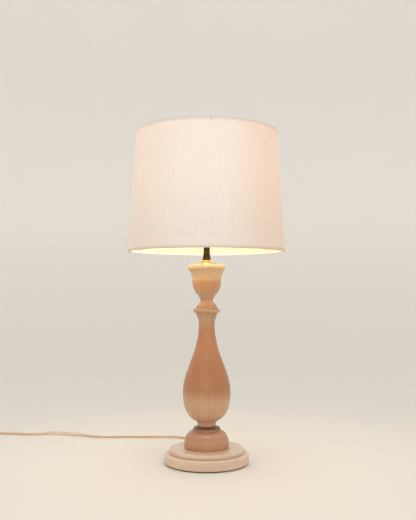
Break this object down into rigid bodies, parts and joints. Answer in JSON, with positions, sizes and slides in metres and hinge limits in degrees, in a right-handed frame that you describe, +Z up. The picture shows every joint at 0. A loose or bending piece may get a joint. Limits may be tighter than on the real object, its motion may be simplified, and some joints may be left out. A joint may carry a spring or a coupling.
{
  "type": "table lamp",
  "caption": "Table lamp: turned wood column on a round stepped base, brass neck, keyed screw socket with bulb, harp, and a tapered drum fabric shade under a finial.",
  "frame": {"origin": "centre of the underside of the base, where the felt rests on the table", "axes": "+Z up along the column, front towards -Y, the lead leaves the base at +Y"},
  "size_m": [0.711, 0.4221, 0.6291],
  "materials": {
    "felt": "matte",
    "wood_base": "satin",
    "wood_column": "satin",
    "wood_dark": "satin",
    "steel": "brushed",
    "lead_jacket": "gloss",
    "dark_plastic": "matte",
    "brass": "polished",
    "liner_card": "matte",
    "cam_plastic": "matte",
    "bulb_metal": "satin",
    "bulb_glass": "frosted, emissive when lit",
    "bulb_insulator": "gloss",
    "frame_wire": "satin",
    "shade_lining": "matte",
    "shade_fabric": "linen weave",
    "trim_tape": "matte"
  },
  "bodies": {
    "root": {"felt_pad": "felt", "lower_plinth": "wood_base", "upper_plinth": "wood_base", "bun": "wood_base", "foot_ring": "wood_column", "vase_body": "wood_column", "bead_ring": "wood_column", "cup": "wood_column", "cove_ring": "wood_dark", "base_screws": "steel", "lamp_pipe": "steel", "pipe_washer": "steel", "pipe_nut": "steel", "cap_screw": "steel", "cord_inside": "lead_jacket", "cord_run": "lead_jacket", "cord_coil": "lead_jacket", "cord_tail": "lead_jacket", "socket_leads": "lead_jacket", "cord_bushing": "dark_plastic", "socket_core": "dark_plastic", "coil_tie": "dark_plastic", "plug_body": "dark_plastic", "flange_cap": "brass", "step_ring": "brass", "polished_ring": "brass", "tapered_neck": "brass", "harp_saddle": "brass", "socket_cap": "brass", "socket_shell": "brass", "screw_shell": "brass", "center_contact": "brass", "terminal_screws": "brass", "plug_blades": "brass", "socket_liner": "liner_card"},
    "switch": {"switch_shaft": "brass", "switch_cam": "cam_plastic", "switch_key": "dark_plastic"},
    "bulb_seat": {"bulb_contact": "bulb_metal", "bulb_insulator": "bulb_insulator"},
    "bulb": {"bulb_base": "bulb_metal", "bulb_glass": "bulb_glass", "bulb_stem": "bulb_glass", "bulb_filament": "bulb_metal"},
    "harp": {"harp_bow": "brass", "harp_stud": "brass"},
    "sleeve_left": {"harp_sleeve_left": "brass"},
    "sleeve_right": {"harp_sleeve_right": "brass"},
    "shade_hub": {"spider_hub": "frame_wire"},
    "shade": {"spider_arms": "frame_wire", "top_ring": "frame_wire", "bottom_ring": "frame_wire", "shade_liner": "shade_lining", "shade_fabric": "shade_fabric", "liner_seam": "shade_lining", "top_trim": "trim_tape", "bottom_trim": "trim_tape"},
    "finial_seat": {"finial_base": "brass"},
    "finial": {"finial_knob": "brass"}
  },
  "joints": [
    {"name": "switch_turn", "type": "hinge", "parent": "root", "child": "switch", "pos_m": [0, -0.02, 0.439], "axis": [0, -1, 0], "continuous": true},
    {"name": "bulb_rise", "type": "slide", "parent": "root", "child": "bulb_seat", "axis": [0, 0, 1], "range_m": [0, 0.0146]},
    {"name": "bulb_turn", "type": "hinge", "parent": "bulb_seat", "child": "bulb", "pos_m": [0, 0, 0.5], "axis": [0, 0, 1], "range_deg": [0, 1440]},
    {"name": "harp_lift", "type": "slide", "parent": "root", "child": "harp", "axis": [0, 0, 1], "range_m": [0, 0.015]},
    {"name": "sleeve_left_lift", "type": "slide", "parent": "harp", "child": "sleeve_left", "axis": [0, 0, 1], "range_m": [0, 0.012]},
    {"name": "sleeve_right_lift", "type": "slide", "parent": "harp", "child": "sleeve_right", "axis": [0, 0, 1], "range_m": [0, 0.012]},
    {"name": "shade_lift", "type": "slide", "parent": "harp", "child": "shade_hub", "axis": [0, 0, 1], "range_m": [0, 0.03]},
    {"name": "shade_turn", "type": "hinge", "parent": "shade_hub", "child": "shade", "pos_m": [0, 0, 0.6], "axis": [0, 0, 1], "continuous": true},
    {"name": "finial_rise", "type": "slide", "parent": "shade_hub", "child": "finial_seat", "axis": [0, 0, 1], "range_m": [0, 0.0075]},
    {"name": "finial_turn", "type": "hinge", "parent": "finial_seat", "child": "finial", "pos_m": [0, 0, 0.62], "axis": [0, 0, 1], "range_deg": [0, 2880]}
  ],
  "couplings": [
    {"joint": "bulb_rise", "follows": "bulb_turn", "m_per_rad": 0.00057773},
    {"joint": "finial_turn", "follows": "finial_rise", "rad_per_m": 6684.2}
  ]
}
